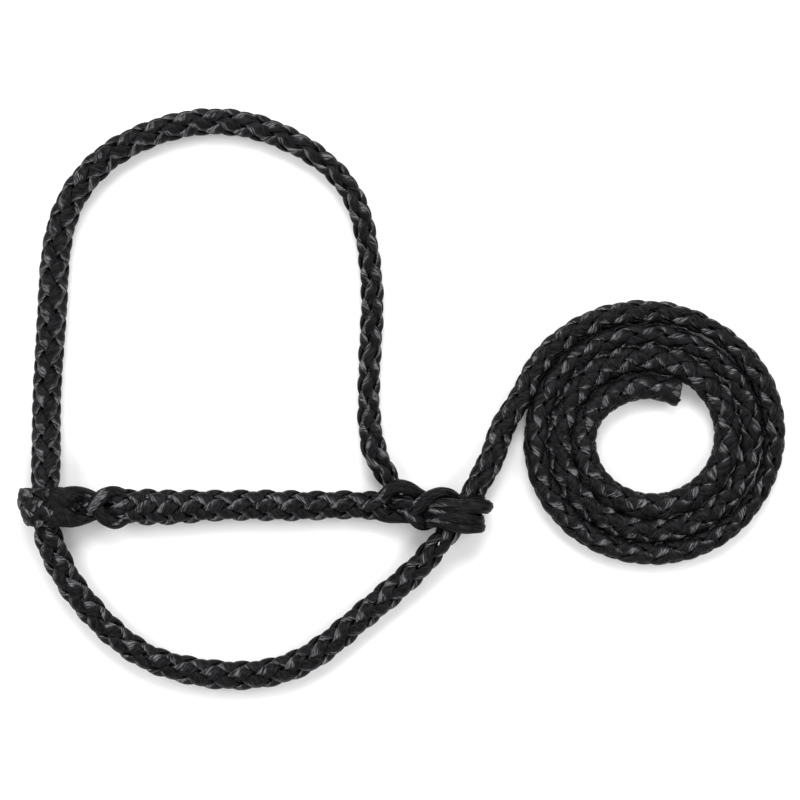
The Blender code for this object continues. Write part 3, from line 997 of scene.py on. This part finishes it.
@dataclass
class RightSplice:
    """The off-side splice, where the crown leaves, and the loop that the lead runs through."""

    front_upper: Route = (
        (0.0590, 0.0024, 0.0100), (0.0632, 0.0046, 0.0108), (0.0668, 0.0080, 0.0124),
        (0.0712, 0.0098, 0.0134), (0.0762, 0.0088, 0.0126), (0.0802, 0.0062, 0.0108),
        (0.0835, 0.0040, 0.0094),
    )
    front_lower: Route = (
        (0.0590, -0.0026, 0.0090), (0.0622, -0.0038, 0.0092), (0.0655, -0.0048, 0.0094),
        (0.0710, -0.0051, 0.0094), (0.0755, -0.0050, 0.0092), (0.0790, -0.0050, 0.0090),
        (0.0826, -0.0048, 0.0090), (0.0860, -0.0044, 0.0094),
    )
    crown_core: Route = (
        (0.0682, 0.0088, 0.0046), (0.0672, 0.0064, 0.0050), (0.0680, 0.0030, 0.0072),
        (0.0712, 0.0018, 0.0112), (0.0748, 0.0008, 0.0150), (0.0780, -0.0006, 0.0164),
    )
    back_upper: Route = (
        (0.0766, -0.0040, 0.0150), (0.0796, -0.0012, 0.0164), (0.0836, 0.0026, 0.0172),
        (0.0880, 0.0054, 0.0164), (0.0930, 0.0062, 0.0138), (0.0972, 0.0046, 0.0094),
        (0.0992, 0.0028, 0.0052),
    )
    back_lower: Route = (
        (0.0752, -0.0010, 0.0146), (0.0776, -0.0040, 0.0156), (0.0802, -0.0070, 0.0146),
        (0.0832, -0.0084, 0.0116), (0.0865, -0.0076, 0.0074), (0.0890, -0.0058, 0.0040),
    )
    front_core: Route = (
        (0.0772, 0.0003, 0.0085, 0.0060, 0.0040), (0.0801, 0.0003, 0.0090, 0.0062, 0.0040),
        (0.0842, -0.0008, 0.0110, 0.0062, 0.0038), (0.0880, -0.0022, 0.0140, 0.0060, 0.0036),
        (0.0912, -0.0034, 0.0166, 0.0058, 0.0032),
    )
    loop_y: float = -0.0573
    ribs: tuple[Rib, ...] = (
        Rib(0.0042, 0.0066, 0.0028, 0.0036, 0.25, 8), Rib(0.0020, 0.0034, 0.0034, 0.0001, -0.35, 0),
        Rib(-0.0014, -0.0024, 0.0034, 0.0042, 0.40, 8),
        Rib(-0.0040, -0.0069, 0.0027, 0.0038, 0.30, 0),
    )
    rib_half_height: float = 0.0029
    rib_sway: float = 0.0007
    loop_path: tuple[tuple[float, float], ...] = (
        (0.0850, 0.0126), (0.0885, 0.0162), (0.0925, 0.0194), (0.0970, 0.0212),
        (0.1030, 0.0217), (0.1094, 0.0212), (0.1140, 0.0180), (0.1154, 0.0124),
        (0.1140, 0.0068), (0.1094, 0.0038), (0.1030, 0.0034), (0.0976, 0.0034),
        (0.0930, 0.0038),
    )

    def build(self, looks: Looks) -> None:
        """Builds the loop, the strands that open on both faces and the ropes through them.

        Args:
            looks: the finishes.
        """
        loop = RopeMesh()
        for number, rib in enumerate(self.ribs):
            OpenedStrands(
                CentreLine(self.rib_route(number, rib), Facing.LOOP_SLANT), twist=rib.turn,
                seed=4.4 + number, tracers=(rib.grey,), tracer_from=0.06 + 0.03 * (number % 2),
                tracer_to=0.19 - 0.03 * (number % 3),
            ).lay(loop)
        loop.build("right_loop_braid", "braid", looks, ["right_loop"])
        for part in (
            Bundle("right_front_strands_upper", self.front_upper, 0.9, (0,), (0.0, 0.30)),
            Bundle("right_front_strands_lower", self.front_lower, 1.7, (0,), (0.50, 1.0)),
            Bundle("right_back_strands_upper", self.back_upper, 2.6, (1,), (0.10, 0.50)),
            Bundle("right_back_strands_lower", self.back_lower, 3.3, (8,), (0.0, 0.25)),
            Core("right_crown_core", self.crown_core, 5.1),
            Core("right_front_core", self.front_core, 5.8),
        ):
            part.build(looks)

    def rib_route(self, number: int, rib: Rib) -> list[RoutePoint]:
        """A rib's route round the loop.

        Args:
            number: which of the ribs it is, which sets how it sways.
            rib: its sizes.

        Returns:
            The route's points.
        """
        first, last = self.loop_path[0][0], max(x for x, _ in self.loop_path)
        route = []
        for x, z in self.loop_path:
            share = (x - first) / (last - first)
            sway = self.rib_sway * sin(7.0 * share + 2.1 * number)
            y = self.loop_y + (rib.near + (rib.far - rib.near) * share + sway)
            place = (x - rib.short * share**2, y, z + sway)
            route.append((*place, rib.half_width, self.rib_half_height))
        return route


@dataclass
class FoldingStretch:
    """A long stretch of braid that runs out beside the noseband, as one piece on no body."""

    body: str
    nodes: tuple[str, ...]
    roll: float
    roll_drift: float
    seed: float
    swell: float
    thin: float
    leaf: float
    fold_start: Triple
    fold_end: Triple
    route: Route

    def build(self, looks: Looks) -> None:
        """Builds the stretch's braid and bakes its place into its mesh.

        Args:
            looks: the finishes.
        """
        mesh = RopeMesh()
        Braid(
            CentreLine(self.route), roll=self.roll, roll_drift=self.roll_drift, seed=self.seed,
            thickness=0.0018, fullness=1.06, swell=self.swell, thin=self.thin, leaf=self.leaf,
            leaf_place=-0.7, leaf_reach=1.0,
        ).weave(mesh)
        piece = mesh.build(f"{self.body}_braid", "braid", looks, self.nodes, body="")
        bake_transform(piece)


@dataclass
class Crown(FoldingStretch):
    """The head loop, from inside the near-side eye over the top to the off-side splice."""

    body: str = "crown"
    nodes: tuple[str, ...] = ("crown_rope", "left_eye_rope")
    roll: float = 12.0
    roll_drift: float = 30.0
    seed: float = 6.3
    swell: float = 0.0005
    thin: float = 0.12
    leaf: float = 0.66
    fold_start: Triple = (0.0, -0.0430, 0.0)
    fold_end: Triple = (0.0, -0.0030, 0.0)
    route: Route = (
        (-0.1052, -0.0545, 0.0124, 0.0056),
        (-0.1052, -0.0480, 0.0124, 0.0062), (-0.1049, -0.0395, 0.0120, 0.0069),
        (-0.1050, -0.0205, 0.0088, 0.0070), (-0.1050, -0.0005, 0.0070, 0.0069),
        (-0.1036, 0.0245, 0.0071, 0.0070), (-0.1020, 0.0495, 0.0072, 0.0072),
        (-0.1002, 0.0745, 0.0070, 0.0070), (-0.0928, 0.0995, 0.0068, 0.0067),
        (-0.0733, 0.1220, 0.0066, 0.0066), (-0.0533, 0.1326, 0.0064, 0.0064),
        (-0.0232, 0.1390, 0.0065, 0.0064), (-0.0033, 0.1369, 0.0064, 0.0063),
        (0.0219, 0.1268, 0.0059, 0.0058), (0.0371, 0.1159, 0.0054, 0.0053),
        (0.0492, 0.0995, 0.0054, 0.0053), (0.0558, 0.0745, 0.0054, 0.0053),
        (0.0579, 0.0495, 0.0056, 0.0055), (0.0568, 0.0245, 0.0056, 0.0055),
        (0.0561, -0.0005, 0.0055, 0.0054), (0.0576, -0.0203, 0.0062, 0.0060),
        (0.0610, -0.0310, 0.0061, 0.0059), (0.0662, -0.0400, 0.0052, 0.0050),
        (0.0690, -0.0460, 0.0050, 0.0046),
    )


@dataclass
class Chin(FoldingStretch):
    """The chin stretch, from inside the near-side eye under the jaw into the off-side loop."""

    body: str = "chin"
    nodes: tuple[str, ...] = ("chin_rope",)
    roll: float = 17.0
    roll_drift: float = -10.0
    seed: float = 7.1
    swell: float = 0.0004
    thin: float = 0.08
    leaf: float = 0.64
    fold_start: Triple = (0.0, -0.0664, 0.0)
    fold_end: Triple = (0.0, -0.1044, 0.0)
    route: Route = (
        (-0.1052, -0.0540, 0.0124, 0.0056),
        (-0.1046, -0.0620, 0.0124, 0.0062), (-0.1034, -0.0685, 0.0120, 0.0068),
        (-0.0991, -0.0805, 0.0098, 0.0069), (-0.0942, -0.0905, 0.0080, 0.0067),
        (-0.0872, -0.1005, 0.0068, 0.0067), (-0.0779, -0.1112, 0.0067, 0.0066),
        (-0.0678, -0.1205, 0.0065, 0.0065), (-0.0534, -0.1297, 0.0065, 0.0065),
        (-0.0381, -0.1348, 0.0068, 0.0068), (-0.0232, -0.1375, 0.0071, 0.0071),
        (-0.0032, -0.1381, 0.0070, 0.0070), (0.0219, -0.1318, 0.0069, 0.0069),
        (0.0385, -0.1208, 0.0068, 0.0067), (0.0513, -0.1100, 0.0067, 0.0066),
        (0.0627, -0.1005, 0.0068, 0.0067), (0.0742, -0.0905, 0.0080, 0.0065),
        (0.0839, -0.0807, 0.0102, 0.0062), (0.0914, -0.0716, 0.0120, 0.0059),
        (0.0972, -0.0648, 0.0124, 0.0054), (0.1023, -0.0565, 0.0124, 0.0048),
    )


@dataclass
class Lead:
    """The lead: out of the loop, across to the coil, three turns inwards and a sealed end."""

    nodes: tuple[str, ...] = (
        "right_loop_rope", "lead_neck", "lead_rope", "lead_coil", "lead_tail",
    )
    exit: Triple = (0.1093, -0.0445, 0.0124)
    # Two planes that face along a line from the loop to the coil's lower left,
    # so that the whole coil lies past the second.
    swing_start: Triple = (0.1076, -0.0434, 0.0115)
    swing_end: Triple = (0.1233, -0.0302, 0.0115)
    coil_centre: tuple[float, float] = (0.19925, -0.0190)
    start_radius: float = 0.06575
    turn_step: float = 0.01165
    oval: tuple[float, ...] = (0.0016, -0.0026, -0.0007, 0.0010)
    tail_inward: float = 0.0026  # how far the last quarter turn leans into the middle
    tail_leans_at: float = 3.0  # the turn where it begins to
    tail_leans_over: float = 0.15
    first_turn: float = 0.045
    last_turn: float = 3.28
    points_a_turn: int = 24
    path_points: int = 400  # about how many say where the cord runs
    surface_gap: float = 0.0001
    route: Route = (
        (0.1008, -0.0590, 0.0124, 0.0054), (0.1023, -0.0565, 0.0124, 0.0054),
        (0.1075, -0.0476, 0.0124, 0.0057), (0.1122, -0.0395, 0.0117, 0.0061),
        (0.1144, -0.0356, 0.0108, 0.0063), (0.1172, -0.0305, 0.0094, 0.0063),
        (0.1208, -0.0206, 0.0072, 0.0063), (0.1232, -0.0142, 0.0064, 0.0062),
        (0.1268, -0.0078, 0.0062, 0.0060),
    )
    end_centre: Triple = (0.2108, 0.0036, 0.0072)
    # The braid's last points: (distance before the end, how much lower, half width and height).
    end_stretch: Route = (
        (0.0085, 0.0006, 0.0062, 0.0062), (0.0045, 0.0, 0.0068, 0.0064),
        (0.0010, 0.0, 0.0076, 0.0066),
    )
    end_stubs: int = 8
    stub_spread: float = 0.0050
    stub_flatness: float = 0.8
    stub_radius: float = 0.0027
    # A stub's points: (distance along the end's direction, share of its spread, of its radius);
    # its tip reaches the given length further.
    stub_points: tuple[Triple, ...] = (
        (-0.0030, 0.72, 0.9), (-0.0008, 1.0, 1.0), (0.0, 1.04, 0.72),
    )
    stub_length: tuple[float, float] = (0.0004, 0.0011)
    end_direction: Triple = (0.9798, -0.19996, 0.0)
    # The rope's half thickness along the coil: (turn, radius).
    thickness: tuple[tuple[float, float], ...] = (
        (0.0, 0.0060), (0.08, 0.0057), (0.20, 0.0058), (0.26, 0.0056), (0.34, 0.0049),
        (0.42, 0.0058), (0.50, 0.0055), (0.57, 0.0048), (0.66, 0.0056), (0.8, 0.0058),
        (0.95, 0.0064), (1.1, 0.0060), (1.22, 0.0060), (1.34, 0.0055), (1.45, 0.0062),
        (1.57, 0.0056), (1.7, 0.0062), (2.1, 0.0068), (2.3, 0.0072), (2.6, 0.0069),
        (3.0, 0.0068), (3.15, 0.0071), (3.28, 0.0070),
    )

    def coil_point(self, turn: float) -> RoutePoint:
        """A point of the spiral, after so many turns from its left side.

        Args:
            turn: how many turns.

        Returns:
            The point, with the rope's half width and height.
        """
        angle = pi - 2 * pi * turn
        constant, with_cos, with_sin, with_double = self.oval
        out = self.start_radius - self.turn_step * turn + constant
        out += with_cos * cos(angle) + with_sin * sin(angle) + with_double * cos(2 * angle)
        inward = min(max((turn - self.tail_leans_at) / self.tail_leans_over, 0.0), 1.0)
        out -= self.tail_inward * inward * inward * (3 - 2 * inward)
        turns, radii = zip(*self.thickness)
        radius = float(np.interp(turn, turns, radii))
        x = self.coil_centre[0] + out * cos(angle)
        y = self.coil_centre[1] + out * sin(angle)
        return (x, y, radius + self.surface_gap, radius)

    def full_route(self) -> list[RoutePoint]:
        """The whole lead's route, from inside the loop to the sealed end."""
        turns = np.arange(self.first_turn, self.last_turn - 0.03, 1 / self.points_a_turn)
        coil = [self.coil_point(float(turn)) for turn in turns]
        end, direction = Vector(self.end_centre), Vector(self.end_direction)
        last = []
        for before, lower, half_width, half_height in self.end_stretch:
            place = end - direction * before
            last.append((place.x, place.y, place.z - lower, half_width, half_height))
        return [*self.route, *coil, *last]

    def build(self, looks: Looks) -> None:
        """Args:
            looks: the finishes.
        """
        line = CentreLine(self.full_route())
        mesh = RopeMesh()
        Braid(
            line, roll=20.0, roll_drift=150.0, seed=8.2, step=0.0013, thickness=0.0016,
            fullness=1.10, swell=0.0003, thin=-0.02, leaf=0.54, leaf_place=-0.4,
            leaf_reach=1.3, tail=0.0,
        ).weave(mesh)
        piece = mesh.build("lead_braid", "braid", looks, self.nodes, body="")
        end = self.sealed_end(looks)
        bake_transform(piece)
        log.info("the lead's line is %.3f m long", line.length)

    def sealed_end(self, looks: Looks) -> bpy.types.Object:
        """Builds the melted end: a stub for each strand, round the rope's middle.

        Args:
            looks: the finishes.

        Returns:
            The piece.
        """
        end, direction = Vector(self.end_centre), Vector(self.end_direction)
        side = Vector((-direction.y, direction.x, 0.0))
        mesh = RopeMesh()
        shortest, longest = self.stub_length
        for number in range(self.end_stubs):
            angle = 2 * pi * number / self.end_stubs + 0.5
            reach = self.stub_spread * (1.0 + 0.12 * sin(5.1 * number))
            height = cos(angle) * reach * self.stub_flatness
            out = side * (sin(angle) * reach) + Vector((0.0, 0.0, height))
            length = shortest + (longest - shortest) * (0.5 + 0.5 * sin(2.7 * number + 1.0))
            route = []
            for along, spread, thickness in self.stub_points:
                place = end + direction * (along or length) + out * spread
                route.append((*place, self.stub_radius * thickness))
            OpenedStrands(
                CentreLine(route, spacing=0.0002), yarns=4, twist=0.1, seed=1.1 + number
            ).lay(mesh)
        return mesh.build("lead_sealed_end", "melted", looks, ["lead_end"], body="lead")


@dataclass(frozen=True)
class Lamp:
    """A square lamp that faces the halter."""

    name: str
    place: Triple
    power: float
    size: float = 0.9

    def hang(self, middle: tuple[float, float]) -> None:
        """Adds the lamp, aimed at the middle of the view.

        Args:
            middle: where it is aimed on the floor.
        """
        data = bpy.data.lights.new(self.name, "AREA")
        data.size, data.energy = self.size, self.power
        made = bpy.data.objects.new(self.name, data)
        made.location = self.place
        made.rotation_mode = "QUATERNION"
        aim = Vector((*middle, 0.0)) - Vector(self.place)
        made.rotation_quaternion = aim.to_track_quat("-Z", "Y")
        bpy.context.scene.collection.objects.link(made)


@dataclass
class Studio:
    """A pale surface, soft lights from all sides and a camera straight above."""

    middle: tuple[float, float] = (0.07175, -0.0005)
    view_width: float = 0.400
    view_height: float = 0.008  # of what the view's width is measured at
    lens: float = 100.0
    sensor: float = 36.0
    lamps: tuple[Lamp, ...] = (
        Lamp("crown_side", (0.07, 1.15, 1.25), 24.0),
        Lamp("near_side", (-1.15, 0.30, 1.15), 13.0),
        Lamp("off_side", (1.30, 0.30, 1.15), 13.0),
        Lamp("chin_side", (0.07, -1.15, 1.15), 10.5),
    )
    sky: float = 0.28
    floor_size: float = 6.0
    floor_z: float = -0.0004
    floor_colour: Triple = (0.93, 0.93, 0.93)

    def camera(self) -> None:
        """Places the camera so that the view is as wide as the halter and its coil need."""
        data = bpy.data.cameras.new("camera")
        data.lens, data.sensor_width = self.lens, self.sensor
        made = bpy.data.objects.new("camera", data)
        distance = self.view_width * self.lens / self.sensor
        made.location = (*self.middle, distance + self.view_height)
        bpy.context.scene.collection.objects.link(made)
        bpy.context.scene.camera = made

    def lights(self) -> None:
        """Hangs the four lamps round the halter and lights the sky evenly."""
        for lamp in self.lamps:
            lamp.hang(self.middle)
        bpy.context.scene.view_settings.view_transform = "Standard"
        world = bpy.data.worlds.new("studio")
        world.use_nodes = True
        background = world.node_tree.nodes["Background"]
        background.inputs["Color"].default_value = (1.0, 1.0, 1.0, 1.0)
        background.inputs["Strength"].default_value = self.sky
        bpy.context.scene.world = world

    def floor(self) -> None:
        """Lays the plain pale surface under the halter."""
        half = self.floor_size / 2
        corners = [(-half, -half), (half, -half), (half, half), (-half, half)]
        mesh = bpy.data.meshes.new("surface")
        mesh.from_pydata([(x, y, self.floor_z) for x, y in corners], [], [(0, 1, 2, 3)])
        kit = NodeKit.for_new_material("surface", specular=0.1)
        kit.shader.inputs["Base Color"].default_value = (*self.floor_colour, 1.0)
        kit.shader.inputs["Roughness"].default_value = 0.9
        mesh.materials.append(kit.material)
        made = bpy.data.objects.new("surface", mesh)
        bpy.context.scene.collection.objects.link(made)


def make_looks() -> Looks:
    """The four finishes, by the record's slot names."""
    return {
        "braid": YarnFinish("braid_yarn").make(),
        "strand": YarnFinish("opened_yarn", relief=0.65).make(),
        "inner": YarnFinish("buried_yarn", roughness=0.65).make(),
        "melted": MeltedFinish("melted_yarn").make(),
    }


def main() -> None:
    """Builds the studio and the halter, sub-assembly by sub-assembly."""
    logging.basicConfig(level=logging.INFO, format="%(name)s: %(message)s")
    studio = Studio()
    studio.camera()
    looks = make_looks()
    Lead().build(looks)
    Crown().build(looks)
    Chin().build(looks)
    Noseband().build(looks)
    LeftSplice().build(looks)
    RightSplice().build(looks)
    studio.lights()
    studio.floor()


if __name__ == "__main__":
    main()
